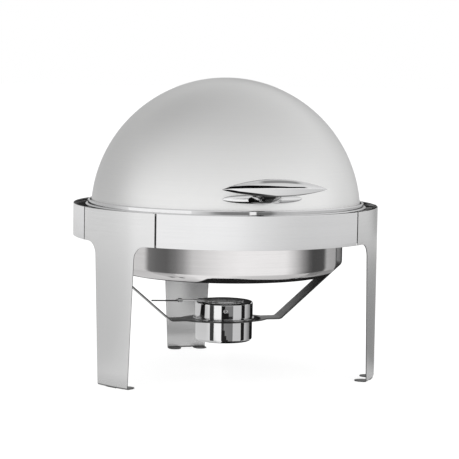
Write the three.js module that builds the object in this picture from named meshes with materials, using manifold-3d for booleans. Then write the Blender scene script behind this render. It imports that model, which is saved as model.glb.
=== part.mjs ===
// Roll top chafer: a round buffet warmer whose domed cover rolls back under its own pans.
// Units are millimetres and +Z is up. The front is -Y and the right-hand side is +X.
// Everything is built about the vertical axis of the dome, then moved as one so that the
// origin lies under the middle of the whole object, on the surface it stands on.

import * as THREE from "three";
import { mergeVertices } from "three/addons/utils/BufferGeometryUtils.js";
import Module from "manifold-3d";

const wasm = await Module();
wasm.setup();

// Driving dimensions.
const SHEET = 1.5; // steel sheet of the stand, the cover and the pans
const GAP = 0.4; // space left between pieces that touch on the real object
const CUT_MARGIN = 10; // how far a cutting tool runs past the piece it cuts

const BAND_RADIUS = 225;
const BAND_BOTTOM = 202.6;
const BAND_TOP = 249.4;
const BAND_SEGMENTS = 72;
const SEAM = 2.9; // open joint between a leg and the next band panel

const LEG_AZIMUTHS = { leg_front_left: -60, leg_front_right: 60, leg_rear: 180 };
const LEG_BAND_HALF_ANGLE = 18.8;
const LEG_TOP_HALF_WIDTH = 39.8;
const LEG_FOOT_HALF_WIDTH = 31;
const LEG_FILLET = 19;
const TAB_WIDTH = 20; // the two inward foot tabs of a leg
const TAB_REACH = 22;

const DOME_RADIUS = 199.2;
const PIVOT_Z = 236.6; // height of the dome's centre and of the axis it rolls on
const DOME_RIM_RISE = 1.4; // the cover's rim lies this far above its centre
const DOME_SEGMENTS = 48;
const DOME_STEPS = 10;

const RING_SEGMENTS = 56;
const RING_INNER = 200.6;
const RING_BEAD = 203.8;
const RING_FLANGE = 207.3;
const RING_BOTTOM = 246.5;
const RING_STEP = 249.6;
const RING_TOP = 255.4;

const HOOP_OUTER = BAND_RADIUS - SHEET - 0.6;
const HOOP_INNER = HOOP_OUTER - SHEET;
const HOOP_BOTTOM = 205.5;
const HOOP_TOP = 246;
const HOOP_FACE = HOOP_INNER - 0.6; // where a bracket meets the hoop, clear of its flats

const PAN_SEGMENTS = 40;
const WATER_PAN_RADIUS = 166;
const WATER_PAN_BOTTOM = 148.5;
const WATER_PAN_CORNER = 20;
const WATER_PAN_RIM = 182.5;
const FOOD_PAN_RADIUS = 160;
const FOOD_PAN_BOTTOM = 160;
const FOOD_PAN_CORNER = 14;
const FOOD_PAN_RIM = 184.5;

const CARRIER_INNER = 168.5;
const CARRIER_OUTER = 181.5;
const CARRIER_TOP = 221;
const CARRIER_BOTTOM = 200;

const ARM_BOTTOM = 206; // channels that hold the pan carrier
const ARM_TOP = CARRIER_TOP;
const ARM_WIDTH = 12;

const PIN_RADIUS = 4;
const PIN_BORE = 4.12;
const BRACKET_INNER = 203; // inner face of the plates that carry the pivot pins
const BRACKET_FRONT = 38;
const BRACKET_REAR = 18;
const EAR_OUTER = DOME_RADIUS - SHEET - GAP;
const EAR_HALF_WIDTH = 12;
const EAR_RISE = 36;

const STRAP = 1.8; // flat bar of the burner bracket
const STRAP_WIDTH = 34;
const STRAP_OUTER = 178.6;
const STRAP_KNEE_Z = 160;
const STRAP_BEND_X = 84;
const STRAP_TOP = CARRIER_TOP - SHEET - 1;
const BRACKET_PLATE_TOP = 79;
const BRACKET_PLATE_RADIUS = 49;
const BRACKET_HOLE = 43.1;
const RIVET_RADIUS = 2.2;
const RIVET_HOLE = 2.55;
const RIVET_HEAD = 4.5;
const STRAP_RIVET_Y = 8;
const STRAP_RIVET_Z = 210;

const BURNER_SEGMENTS = 28;
const CUP_RADIUS = 42.3;
const CUP_BOTTOM = 46;
const CUP_CORNER = 5;
const CUP_FLANGE = 46;
const CAP_RADIUS = 43;
const CAP_TOP = 104.6;
const CAP_OPENING = 22;
const LID_RADIUS = 29.5;
const LID_AZIMUTH = -102; // the snuffer's handle points to the left and a little back
const LID_PIVOT = 36;
const LID_THICKNESS = 1.2;
const LID_TAB_WIDTH = 9;
const LID_TAB_END = 72;
const SNUFFER_RIVET = 66;
const SNUFFER_START = 61;
const SNUFFER_END = 111;
const SNUFFER_WIDTH = 8;

const GRIP_Y = -247;
const GRIP_Z = 288.2;
const GRIP_HALF_LENGTH = 74.5;
const GRIP_RISE = 15.3; // the grip is taller above its widest line than below it
const GRIP_DROP = 9.2;
const GRIP_HALF_DEPTH = 9.5;
const HANDLE_BASE_Z = 270.8;
const HANDLE_BASE_HALF_LENGTH = 57.5;
const HANDLE_BASE_HALF_HEIGHT = 6.8;
const HANDLE_BASE_THICKNESS = 7;
const NECK_HALF_WIDTH = 14;
const HANDLE_SCREW_X = 26;
const HANDLE_SCREW_RADIUS = 2.5;

// Materials.
const steel = (color, roughness) => new THREE.MeshStandardMaterial({ color, roughness, metalness: 1 });
const SATIN = steel(0xc9cac8, 0.4);
const BRUSHED = steel(0xb4b5b4, 0.45);
const POLISHED = steel(0xe2e3e4, 0.12);
const CHROME = steel(0xe8e9ea, 0.05);
const DULL = steel(0x8f908f, 0.5);
const RUBBER = new THREE.MeshStandardMaterial({ color: 0x1c1c1c, roughness: 0.8, metalness: 0 });

const radians = THREE.MathUtils.degToRad;
const half = (width) => width / 2;
const model = new THREE.Group();

// Shape helpers.

// A closed body: shared corners are merged and triangles without area are dropped.
function closedBody(geometry) {
  const bare = geometry.clone();
  bare.deleteAttribute("normal");
  bare.deleteAttribute("uv");
  const merged = mergeVertices(bare, 1e-4);
  const corners = [];
  for (let i = 0; i < merged.index.count; i += 3) {
    const [a, b, c] = [0, 1, 2].map((k) => merged.index.getX(i + k));
    if (a !== b && b !== c && c !== a) {
      corners.push(a, b, c);
    }
  }
  merged.setIndex(corners);
  return merged;
}

function toManifold(geometry) {
  const body = closedBody(geometry);
  return new wasm.Manifold(
    new wasm.Mesh({
      numProp: 3,
      vertProperties: body.attributes.position.array,
      triVerts: Uint32Array.from(body.index.array),
    }),
  );
}

function toGeometry(manifold) {
  const mesh = manifold.getMesh();
  const geometry = new THREE.BufferGeometry();
  geometry.setAttribute("position", new THREE.BufferAttribute(mesh.vertProperties, 3));
  geometry.setIndex(new THREE.BufferAttribute(mesh.triVerts, 1));
  return geometry;
}

const joined = (first, ...others) =>
  toGeometry(others.reduce((whole, part) => whole.add(toManifold(part)), toManifold(first)));
const cut = (piece, ...tools) =>
  toGeometry(tools.reduce((rest, tool) => rest.subtract(toManifold(tool)), toManifold(piece)));
const common = (first, second) => toGeometry(toManifold(first).intersect(toManifold(second)));

// A profile of [radius, height] points turned round +Z, its outer side listed upwards.
function turned(profile, segments) {
  const points = profile.map(([radius, height]) => new THREE.Vector2(radius, height));
  return new THREE.LatheGeometry(points, segments).rotateX(Math.PI / 2);
}

const turnedLoop = (profile, segments) => turned([...profile, profile[0]], segments);

const tube = (inner, outer, bottom, top, segments) =>
  turnedLoop([[inner, bottom], [outer, bottom], [outer, top], [inner, top]], segments);

const cylinder = (radius, bottom, top, segments) =>
  turned([[0, bottom], [radius, bottom], [radius, top], [0, top]], segments);

// Points of a round corner in a turned profile, between two angles in degrees.
function corner(centreRadius, centreHeight, radius, from, to, steps) {
  return Array.from({ length: steps + 1 }, (_, i) => {
    const angle = radians(from + ((to - from) * i) / steps);
    return [centreRadius + radius * Math.cos(angle), centreHeight + radius * Math.sin(angle)];
  });
}

const outline = (points) => new THREE.Shape(points.map(([x, y]) => new THREE.Vector2(x, y)));

const extruded = (shape, depth, curveSegments = 8) =>
  new THREE.ExtrudeGeometry(shape, { depth, bevelEnabled: false, curveSegments });

// An outline drawn in plan, standing between two heights.
const standing = (shape, bottom, top, curveSegments) =>
  extruded(shape, top - bottom, curveSegments).translate(0, 0, bottom);

// An outline drawn in X and Z, running between two places along Y.
const alongY = (shape, low, high, curveSegments) =>
  extruded(shape, high - low, curveSegments).rotateX(Math.PI / 2).translate(0, high, 0);

// An outline drawn in Y and Z, running between two places along X.
const alongX = (shape, low, high, curveSegments) =>
  extruded(shape, high - low, curveSegments).rotateX(Math.PI / 2).rotateZ(Math.PI / 2)
    .translate(low, 0, 0);

const box = (low, high) =>
  standing(outline([[low[0], low[1]], [high[0], low[1]], [high[0], high[1]], [low[0], high[1]]]),
    low[2], high[2]);

// Turns a piece made at the front to an azimuth, which is positive towards the right.
const atAzimuth = (geometry, degrees) => geometry.rotateZ(radians(degrees));

// Lays a piece turned round +Z along the pivot axis, pointing out to one side.
const onPivot = (geometry, side) => geometry.rotateY((side * Math.PI) / 2).translate(0, 0, PIVOT_Z);

const ball = (radius) =>
  turned(corner(0, PIVOT_Z, radius, -90, 90, 2 * DOME_STEPS), DOME_SEGMENTS);

function add(name, geometry, material) {
  const mesh = new THREE.Mesh(closedBody(geometry), material);
  mesh.name = name;
  model.add(mesh);
}

// Legs: each is one curved sheet, a length of band above a tapering leg with two foot tabs.

function legOutline() {
  const bandHalfWidth = BAND_RADIUS * Math.sin(radians(LEG_BAND_HALF_ANGLE));
  const filletX = LEG_TOP_HALF_WIDTH + LEG_FILLET;
  const filletZ = BAND_BOTTOM - LEG_FILLET;
  const shape = new THREE.Shape();
  shape.moveTo(-LEG_FOOT_HALF_WIDTH, 0);
  shape.lineTo(LEG_FOOT_HALF_WIDTH, 0);
  shape.absarc(filletX, filletZ, LEG_FILLET, Math.PI, Math.PI / 2, true);
  shape.lineTo(bandHalfWidth, BAND_BOTTOM);
  shape.lineTo(bandHalfWidth, BAND_TOP);
  shape.lineTo(-bandHalfWidth, BAND_TOP);
  shape.lineTo(-bandHalfWidth, BAND_BOTTOM);
  shape.absarc(-filletX, filletZ, LEG_FILLET, Math.PI / 2, 0, true);
  return shape;
}

function footTab(centreX) {
  const half = TAB_WIDTH / 2;
  const innerY = -(BAND_RADIUS - TAB_REACH) - half;
  const shape = new THREE.Shape();
  shape.moveTo(centreX - half, -BAND_RADIUS - 1);
  shape.lineTo(centreX + half, -BAND_RADIUS - 1);
  shape.absarc(centreX, innerY, half, 0, Math.PI, false);
  return standing(shape, 0, SHEET);
}

function leg(azimuth) {
  const shell = tube(BAND_RADIUS - SHEET, BAND_RADIUS, 0, BAND_TOP, BAND_SEGMENTS);
  const sheet = common(shell, alongY(legOutline(), -BAND_RADIUS - CUT_MARGIN, -BAND_RADIUS / 2, 6));
  const tabX = LEG_FOOT_HALF_WIDTH - TAB_WIDTH / 2;
  const inside = cylinder(BAND_RADIUS - SHEET / 2, 0, SHEET, BAND_SEGMENTS);
  const tabs = [-tabX, tabX].map((x) => common(footTab(x), inside));
  return atAzimuth(joined(sheet, ...tabs), azimuth);
}

for (const [name, azimuth] of Object.entries(LEG_AZIMUTHS)) {
  add(name, leg(azimuth), SATIN);
}

// Band panels between the legs.

function sector(from, to) {
  const reach = BAND_RADIUS * 1.4;
  const steps = 4;
  const points = [[0, 0]];
  for (let i = 0; i <= steps; i += 1) {
    const angle = radians(from + ((to - from) * i) / steps);
    points.push([reach * Math.sin(angle), -reach * Math.cos(angle)]);
  }
  return standing(outline(points), 0, BAND_TOP + CUT_MARGIN);
}

function bandPanel(azimuth) {
  const seamAngle = THREE.MathUtils.radToDeg(SEAM / BAND_RADIUS);
  const halfAngle = 60 - LEG_BAND_HALF_ANGLE - seamAngle;
  const shell = tube(BAND_RADIUS - SHEET, BAND_RADIUS, BAND_BOTTOM, BAND_TOP, BAND_SEGMENTS);
  return common(shell, sector(azimuth - halfAngle, azimuth + halfAngle));
}

add("band_panel_front", bandPanel(0), POLISHED);
add("band_panel_left", bandPanel(-120), POLISHED);
add("band_panel_right", bandPanel(120), POLISHED);

// The hoop behind the band, which legs and panels are welded to.
add("frame_hoop", tube(HOOP_INNER, HOOP_OUTER, HOOP_BOTTOM, HOOP_TOP, BAND_SEGMENTS), DULL);

// The fixed ring that the dome rolls through, and its three brackets.
const ringProfile = [
  [RING_INNER, RING_BOTTOM],
  [RING_FLANGE, RING_BOTTOM],
  [RING_FLANGE, RING_STEP - 0.6],
  [RING_BEAD - 0.4, RING_STEP],
  [RING_BEAD, RING_TOP - 1.6],
  [RING_BEAD - 1.2, RING_TOP],
  [RING_INNER, RING_TOP],
];
add("cover_ring", turnedLoop(ringProfile, RING_SEGMENTS), POLISHED);

function ringBracket(azimuth) {
  const shelf = RING_BOTTOM - GAP;
  const profile = outline([
    [-HOOP_FACE, HOOP_BOTTOM + 18],
    [-HOOP_FACE + SHEET, HOOP_BOTTOM + 18],
    [-HOOP_FACE + SHEET, shelf - SHEET],
    [-RING_INNER - 2, shelf - SHEET],
    [-RING_INNER - 2, shelf],
    [-HOOP_FACE, shelf],
  ]);
  return atAzimuth(alongX(profile, -9, 9), azimuth);
}

add("ring_bracket_front_left", ringBracket(-60), DULL);
add("ring_bracket_front_right", ringBracket(60), DULL);
add("ring_bracket_rear", ringBracket(180), DULL);

// Cover: the dome, its two inner ears and the pins it turns on.

const domeArc = (radius, from, to) => corner(0, PIVOT_Z, radius, from, to, DOME_STEPS);
const rimAngle = (radius) => THREE.MathUtils.radToDeg(Math.asin(DOME_RIM_RISE / radius));
const domeInner = DOME_RADIUS - SHEET;
const domeProfile = [
  ...domeArc(DOME_RADIUS, rimAngle(DOME_RADIUS), 90),
  ...domeArc(domeInner, 90, rimAngle(domeInner)),
];
const pinNotch = onPivot(cylinder(8.5, -DOME_RADIUS - CUT_MARGIN, DOME_RADIUS + CUT_MARGIN, 24), 1);

// Screws run level from inside the dome into the base of the handle.
const screwAt = (profile, x) =>
  turned(profile, 12).rotateX(Math.PI / 2).translate(x, 0, HANDLE_BASE_Z);
const screwHole = (x) => screwAt(
  [[0, 180], [HANDLE_SCREW_RADIUS + 0.3, 180], [HANDLE_SCREW_RADIUS + 0.3, 203], [0, 203]], x);
const handleScrewPlaces = { handle_screw_left: -HANDLE_SCREW_X, handle_screw_right: HANDLE_SCREW_X };
const screwHoles = Object.values(handleScrewPlaces).map(screwHole);

add("cover_dome", cut(turnedLoop(domeProfile, DOME_SEGMENTS), pinNotch, ...screwHoles), SATIN);

function pivotEar(side) {
  const shell = cut(ball(EAR_OUTER), ball(EAR_OUTER - SHEET - 0.3));
  const shape = new THREE.Shape();
  shape.moveTo(EAR_HALF_WIDTH, PIVOT_Z + EAR_RISE);
  shape.lineTo(-EAR_HALF_WIDTH, PIVOT_Z + EAR_RISE);
  shape.absarc(0, PIVOT_Z, EAR_HALF_WIDTH, Math.PI, 2 * Math.PI, false);
  const reach = EAR_OUTER + CUT_MARGIN;
  const blank = side > 0 ? alongX(shape, 150, reach, 12) : alongX(shape, -reach, -150, 12);
  const bore = onPivot(cylinder(PIN_BORE, 150, reach, 24), side);
  return cut(common(shell, blank), bore);
}

// The bracket is a bent plate, open towards the hoop, with a hole for the pin.
function pivotBracket(side) {
  const inner = BRACKET_INNER;
  const reachAt = (y) => Math.sqrt(HOOP_FACE ** 2 - y ** 2) - 0.3;
  const points = [
    [inner, -BRACKET_FRONT],
    [reachAt(BRACKET_FRONT), -BRACKET_FRONT],
    [reachAt(BRACKET_FRONT), -BRACKET_FRONT + SHEET],
    [inner + SHEET, -BRACKET_FRONT + SHEET],
    [inner + SHEET, BRACKET_REAR - SHEET],
    [reachAt(BRACKET_REAR), BRACKET_REAR - SHEET],
    [reachAt(BRACKET_REAR), BRACKET_REAR],
    [inner, BRACKET_REAR],
  ].map(([x, y]) => [side * x, y]);
  const bore = onPivot(cylinder(PIN_BORE, inner - 5, inner + 5, 24), side);
  return cut(standing(outline(points), ARM_BOTTOM, RING_BOTTOM - 1), bore);
}

const pinHead = BRACKET_INNER + SHEET + GAP;
const pinTip = 189.5;
const pinProfile = [
  [0, pinTip], [PIN_RADIUS, pinTip], [PIN_RADIUS, pinHead], [7.5, pinHead],
  [7.5, pinHead + 3], [6.3, pinHead + 4], [0, pinHead + 4],
];
const bushInner = DOME_RADIUS - SHEET - 0.2;
const sides = { left: -1, right: 1 };

for (const [word, side] of Object.entries(sides)) {
  add(`pivot_ear_${word}`, pivotEar(side), DULL);
  add(`pivot_bracket_${word}`, pivotBracket(side), DULL);
  add(`pivot_pin_${word}`, onPivot(turned(pinProfile, 24), side), DULL);
  const bush = tube(PIN_RADIUS + 0.3, 6.5, bushInner, BRACKET_INNER - GAP, 24);
  add(`pivot_bush_${word}`, onPivot(bush, side), RUBBER);
  const nutFace = EAR_OUTER - SHEET - 0.3 - 1.2;
  const nut = cut(cylinder(7.5, nutFace - 4.5, nutFace, 6),
    cylinder(PIN_RADIUS + 0.3, nutFace - CUT_MARGIN, nutFace + CUT_MARGIN, 24));
  add(`pivot_nut_${word}`, onPivot(nut, side), DULL);
}

// Handle: a curved base on the dome, a neck, and a long pointed grip.

// Half of a pointed outline, from the middle to the tip.
const spindle = (t) => Math.cos((t * Math.PI) / 2) ** 0.8;

// Half of a blunter outline, for the base.
const bluntEnd = (t) => (1 - Math.abs(t) ** 2.6) ** 0.5;

function baseOutline() {
  const steps = 8;
  const upper = [];
  for (let i = -steps; i <= steps; i += 1) {
    upper.push([(HANDLE_BASE_HALF_LENGTH * i) / steps, HANDLE_BASE_HALF_HEIGHT * bluntEnd(i / steps)]);
  }
  const lower = upper.slice(1, -1).reverse().map(([x, height]) => [x, -height]);
  return outline([...upper, ...lower].map(([x, height]) => [x, HANDLE_BASE_Z + height]));
}

function gripBody(grow) {
  const steps = 8;
  const profile = [];
  for (let i = -steps; i <= steps; i += 1) {
    profile.push([spindle(i / steps), ((GRIP_HALF_LENGTH + grow) * i) / steps]);
  }
  profile[0][0] = 0;
  profile[2 * steps][0] = 0;
  const body = turned(profile, 12).rotateY(Math.PI / 2);
  const points = body.attributes.position;
  for (let i = 0; i < points.count; i += 1) {
    const z = points.getZ(i);
    points.setY(i, points.getY(i) * (GRIP_HALF_DEPTH + grow));
    points.setZ(i, z * ((z > 0 ? GRIP_RISE : GRIP_DROP) + grow));
  }
  return body.translate(0, GRIP_Y, GRIP_Z);
}

const seat = ball(DOME_RADIUS + 0.9);
const pad = common(alongY(baseOutline(), -DOME_RADIUS - CUT_MARGIN, -150),
  ball(DOME_RADIUS + HANDLE_BASE_THICKNESS));
const neck = alongX(outline([
  [-196, HANDLE_BASE_Z - 4],
  [-214, HANDLE_BASE_Z - 3],
  [GRIP_Y - 2, GRIP_Z - 8],
  [GRIP_Y + 3, GRIP_Z],
  [-218, HANDLE_BASE_Z + 8],
  [-196, HANDLE_BASE_Z + 5],
]), -NECK_HALF_WIDTH, NECK_HALF_WIDTH);
add("handle_base", cut(joined(pad, neck), seat, gripBody(GAP), ...screwHoles), CHROME);
add("handle_grip", gripBody(0), CHROME);

const screwSeat = (x) => Math.sqrt(domeInner ** 2 - x ** 2 - (HANDLE_BASE_Z - PIVOT_Z) ** 2) - 2.6;
for (const [name, x] of Object.entries(handleScrewPlaces)) {
  const under = screwSeat(x);
  const profile = [
    [0, under - 3], [4.2, under - 3], [4.8, under], [HANDLE_SCREW_RADIUS, under],
    [HANDLE_SCREW_RADIUS, 201.5], [0, 201.5],
  ];
  add(name, screwAt(profile, x), DULL);
}

// Pan carrier: an angle ring under the rims of the pans, held by four channels that stay in
// the quarter the dome never sweeps, in front of the pivots and below them.

const carrierProfile = [
  [CARRIER_INNER, CARRIER_TOP - SHEET],
  [CARRIER_OUTER - SHEET, CARRIER_TOP - SHEET],
  [CARRIER_OUTER - SHEET, CARRIER_BOTTOM],
  [CARRIER_OUTER, CARRIER_BOTTOM],
  [CARRIER_OUTER, CARRIER_TOP],
  [CARRIER_INNER, CARRIER_TOP],
];
const rivetPlaces = [-STRAP_RIVET_Y, STRAP_RIVET_Y];
const rivetHole = (y) => turned([
  [0, -CARRIER_OUTER - 5], [RIVET_HOLE, -CARRIER_OUTER - 5],
  [RIVET_HOLE, CARRIER_OUTER + 5], [0, CARRIER_OUTER + 5],
], 12).rotateY(Math.PI / 2).translate(0, y, STRAP_RIVET_Z);
const rivetHoles = rivetPlaces.map(rivetHole);
add("pan_carrier", cut(turnedLoop(carrierProfile, RING_SEGMENTS), ...rivetHoles), DULL);

// A channel open at the top, running out from the carrier between two radii.
function channel(start, end) {
  const half = ARM_WIDTH / 2;
  const section = outline([
    [-half, ARM_BOTTOM], [half, ARM_BOTTOM], [half, ARM_TOP], [half - SHEET, ARM_TOP],
    [half - SHEET, ARM_BOTTOM + SHEET], [-half + SHEET, ARM_BOTTOM + SHEET],
    [-half + SHEET, ARM_TOP], [-half, ARM_TOP],
  ]);
  return alongY(section, -end, -start);
}

const braceStart = CARRIER_OUTER + GAP;
const armY = -30;
for (const [word, side] of Object.entries(sides)) {
  const brace = channel(braceStart, HOOP_FACE - 0.3);
  add(`carrier_brace_${word}`, atAzimuth(brace, side * 60), DULL);
  const armStart = Math.sqrt(braceStart ** 2 - (armY + ARM_WIDTH / 2) ** 2);
  const arm = channel(armStart, BRACKET_INNER - GAP);
  add(`carrier_arm_${word}`, atAzimuth(arm, side * 90).translate(0, armY, 0), DULL);
  // Rubber stops: one under the rim of the closed cover, one behind the rim of the open cover.
  const restStop = cylinder(4, ARM_TOP + GAP, PIVOT_Z + DOME_RIM_RISE - GAP, 12)
    .translate(0, -(DOME_RADIUS - SHEET / 2), 0);
  const shelf = box([-half(ARM_WIDTH), -(DOME_RADIUS + 5), ARM_TOP + GAP],
    [half(ARM_WIDTH), -(DOME_RADIUS - 7), ARM_TOP + GAP + 2]);
  add(`closed_stop_${word}`, atAzimuth(joined(restStop, shelf), side * 60), RUBBER);
  const stopFaces = [side * 195.5, side * (BRACKET_INNER - GAP)].sort((a, b) => a - b);
  const openStop = box([stopFaces[0], -8, 207], [stopFaces[1], DOME_RIM_RISE - GAP, 218]);
  add(`open_stop_${word}`, openStop, RUBBER);
}

// Pans.

function panProfile(radius, bottom, cornerRadius, rimRadius, rimBottom) {
  const top = rimBottom + SHEET;
  const inner = radius - SHEET;
  const centre = radius - cornerRadius;
  return [
    [0, bottom],
    ...corner(centre, bottom + cornerRadius, cornerRadius, -90, 0, 5),
    [radius, rimBottom],
    [rimRadius, rimBottom],
    [rimRadius, top],
    [inner, top],
    ...corner(centre, bottom + cornerRadius, cornerRadius - SHEET, 0, -90, 5),
    [0, bottom + SHEET],
  ];
}

const waterRim = CARRIER_TOP + GAP;
const foodRim = waterRim + SHEET + GAP;
add("water_pan", turned(panProfile(WATER_PAN_RADIUS, WATER_PAN_BOTTOM, WATER_PAN_CORNER,
  WATER_PAN_RIM, waterRim), PAN_SEGMENTS), POLISHED);
add("food_pan", turned(panProfile(FOOD_PAN_RADIUS, FOOD_PAN_BOTTOM, FOOD_PAN_CORNER,
  FOOD_PAN_RIM, foodRim), PAN_SEGMENTS), POLISHED);

// Burner bracket: a flat bar bent down from the carrier, with a holed plate in its middle.

function bracketPlate() {
  const halfBar = STRAP_WIDTH / 2;
  const shape = outline([
    [-STRAP_BEND_X, -halfBar], [-62, -halfBar], [-50, -30], [-22, -44], [22, -44], [50, -30],
    [62, -halfBar], [STRAP_BEND_X, -halfBar], [STRAP_BEND_X, halfBar], [62, halfBar], [50, 30],
    [22, 44], [-22, 44], [-50, 30], [-62, halfBar], [-STRAP_BEND_X, halfBar],
  ]);
  const bottom = BRACKET_PLATE_TOP - STRAP;
  const disc = cylinder(BRACKET_PLATE_RADIUS, bottom, BRACKET_PLATE_TOP, BURNER_SEGMENTS);
  const hole = cylinder(BRACKET_HOLE, bottom - CUT_MARGIN, BRACKET_PLATE_TOP + CUT_MARGIN,
    BURNER_SEGMENTS);
  return cut(joined(standing(shape, bottom, BRACKET_PLATE_TOP), disc), hole);
}

function bracketArm(side) {
  const bottom = BRACKET_PLATE_TOP - STRAP;
  const slope = new THREE.Vector2(STRAP_OUTER - STRAP_BEND_X, STRAP_KNEE_Z - bottom);
  const lift = STRAP / Math.cos(Math.atan2(slope.y, slope.x));
  const inset = STRAP_BEND_X - STRAP * Math.tan(Math.atan2(slope.y, slope.x) / 2);
  const points = [
    [inset - 6, bottom],
    [STRAP_BEND_X, bottom],
    [STRAP_OUTER, STRAP_KNEE_Z],
    [STRAP_OUTER, STRAP_TOP],
    [STRAP_OUTER - STRAP, STRAP_TOP],
    [STRAP_OUTER - STRAP, STRAP_KNEE_Z + lift - (STRAP * slope.y) / slope.x],
    [inset, BRACKET_PLATE_TOP],
    [inset - 6, BRACKET_PLATE_TOP],
  ].map(([x, z]) => [side * x, z]);
  return alongY(outline(points), -STRAP_WIDTH / 2, STRAP_WIDTH / 2);
}

const bracket = joined(bracketPlate(), bracketArm(-1), bracketArm(1));
add("burner_bracket", cut(bracket, ...rivetHoles), BRUSHED);

const rivetOuter = CARRIER_OUTER + GAP;
const rivetInner = STRAP_OUTER - STRAP - GAP;
const rivetProfile = [
  [0, rivetInner - 2], [RIVET_HEAD - 1, rivetInner - 2], [RIVET_HEAD, rivetInner],
  [RIVET_RADIUS, rivetInner], [RIVET_RADIUS, rivetOuter], [RIVET_HEAD, rivetOuter],
  [RIVET_HEAD - 1, rivetOuter + 2], [0, rivetOuter + 2],
];
for (const [word, side] of Object.entries(sides)) {
  rivetPlaces.forEach((y, i) => {
    const rivet = turned(rivetProfile, 12).rotateY((side * Math.PI) / 2)
      .translate(0, y, STRAP_RIVET_Z);
    add(`bracket_rivet_${word}_${i === 0 ? "front" : "rear"}`, rivet, DULL);
  });
}

// Burner: a cup that hangs in the bracket by its flange, a cap, and a snuffer lid.

const flangeBottom = BRACKET_PLATE_TOP + 0.3;
const flangeTop = flangeBottom + 1.3;
const wall = 1.2;
const cupCentre = CUP_RADIUS - CUP_CORNER;
const cupProfile = [
  [0, CUP_BOTTOM],
  ...corner(cupCentre, CUP_BOTTOM + CUP_CORNER, CUP_CORNER, -90, 0, 3),
  [CUP_RADIUS, flangeBottom],
  [CUP_FLANGE, flangeBottom],
  [CUP_FLANGE, flangeTop],
  [CUP_RADIUS - wall, flangeTop],
  ...corner(cupCentre, CUP_BOTTOM + CUP_CORNER, CUP_CORNER - wall, 0, -90, 3),
  [0, CUP_BOTTOM + wall],
];
add("burner_cup", turned(cupProfile, BURNER_SEGMENTS), CHROME);

const capBottom = flangeTop + 0.3;
const capProfile = [
  [CAP_RADIUS - wall, capBottom],
  [CAP_RADIUS, capBottom],
  [CAP_RADIUS, CAP_TOP - 3],
  [CAP_RADIUS - 0.9, CAP_TOP - 0.9],
  [CAP_RADIUS - 3, CAP_TOP],
  [CAP_OPENING, CAP_TOP],
  [CAP_OPENING, CAP_TOP - wall],
  [CAP_RADIUS - 3, CAP_TOP - wall],
  [CAP_RADIUS - wall, CAP_TOP - 3],
];

// A shape drawn along the snuffer's handle, with its distance from the burner's axis as +X.
const alongSnuffer = (geometry) => geometry.rotateZ(radians(LID_AZIMUTH - 90));
const upright = (radius, place, bottom, top, segments) =>
  alongSnuffer(cylinder(radius, bottom, top, segments).translate(place, 0, 0));

const VENT_AZIMUTH = -12;
const VENT_Z = 94.5;
const ventHole = (radius) => atAzimuth(turned([
  [0, CAP_RADIUS - 5], [radius, CAP_RADIUS - 5], [radius, CAP_RADIUS + 5], [0, CAP_RADIUS + 5],
], 12).rotateX(Math.PI / 2).translate(0, 0, VENT_Z), VENT_AZIMUTH);
const lidHole = upright(RIVET_HOLE, LID_PIVOT, CAP_TOP - 5, CAP_TOP + 5, 12);
add("burner_cap", cut(turnedLoop(capProfile, BURNER_SEGMENTS), lidHole, ventHole(RIVET_HOLE)), CHROME);

const buttonOuter = CAP_RADIUS + GAP;
const buttonInner = CAP_RADIUS - wall - GAP;
const buttonProfile = [
  [0, buttonInner - 1], [3.4, buttonInner - 1], [3.4, buttonInner], [RIVET_RADIUS, buttonInner],
  [RIVET_RADIUS, buttonOuter], [3.4, buttonOuter], [2.6, buttonOuter + 1.4], [0, buttonOuter + 1.4],
];
const capRivet = turned(buttonProfile, 12).rotateX(Math.PI / 2).translate(0, 0, VENT_Z);
add("cap_rivet", atAzimuth(capRivet, VENT_AZIMUTH), CHROME);

const lidBottom = CAP_TOP + GAP;
const lidTop = lidBottom + LID_THICKNESS;
const lidTab = standing(outline([
  [10, -half(LID_TAB_WIDTH)], [LID_TAB_END, -half(SNUFFER_WIDTH)],
  [LID_TAB_END, half(SNUFFER_WIDTH)], [10, half(LID_TAB_WIDTH)],
]), lidBottom, lidTop);
const lidDisc = cylinder(LID_RADIUS, lidBottom, lidTop, BURNER_SEGMENTS);
const snufferHole = upright(RIVET_HOLE, SNUFFER_RIVET, lidBottom - 5, lidTop + 5, 12);
const lid = joined(lidDisc, alongSnuffer(lidTab));
add("snuffer_lid", cut(lid, lidHole, snufferHole), BRUSHED);

// The handle lies under the lid's tab, clear of the cap's rim.
const handleTop = lidBottom - 0.3;
const handleBottom = handleTop - LID_THICKNESS;
const handleStrip = standing(outline([
  [SNUFFER_START, -half(SNUFFER_WIDTH)], [SNUFFER_END, -half(SNUFFER_WIDTH) + 1],
  [SNUFFER_END - 7, 0], [SNUFFER_END, half(SNUFFER_WIDTH) - 1],
  [SNUFFER_START, half(SNUFFER_WIDTH)],
]), handleBottom, handleTop);
add("snuffer_handle", cut(alongSnuffer(handleStrip), snufferHole), BRUSHED);

function snufferRivet(place, bottom, top) {
  const profile = [
    [0, bottom - 1.3], [3.6, bottom - 1.3], [3.6, bottom], [RIVET_RADIUS, bottom],
    [RIVET_RADIUS, top], [3.6, top], [2.4, top + 1.3], [0, top + 1.3],
  ];
  return alongSnuffer(turned(profile, 12).translate(place, 0, 0));
}

add("snuffer_rivet", snufferRivet(SNUFFER_RIVET, handleBottom - 0.3, lidTop + 0.3), CHROME);
add("lid_pivot_rivet", snufferRivet(LID_PIVOT, CAP_TOP - wall - 0.3, lidTop + 0.3), CHROME);

// The grip reaches further forward than the band does, so the axis lies behind the middle.
const frontReach = -(GRIP_Y - GRIP_HALF_DEPTH);
model.position.y = (frontReach - BAND_RADIUS) / 2;

export default model;
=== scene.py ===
import math

import bmesh
import bpy
from mathutils import Matrix, Vector


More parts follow.
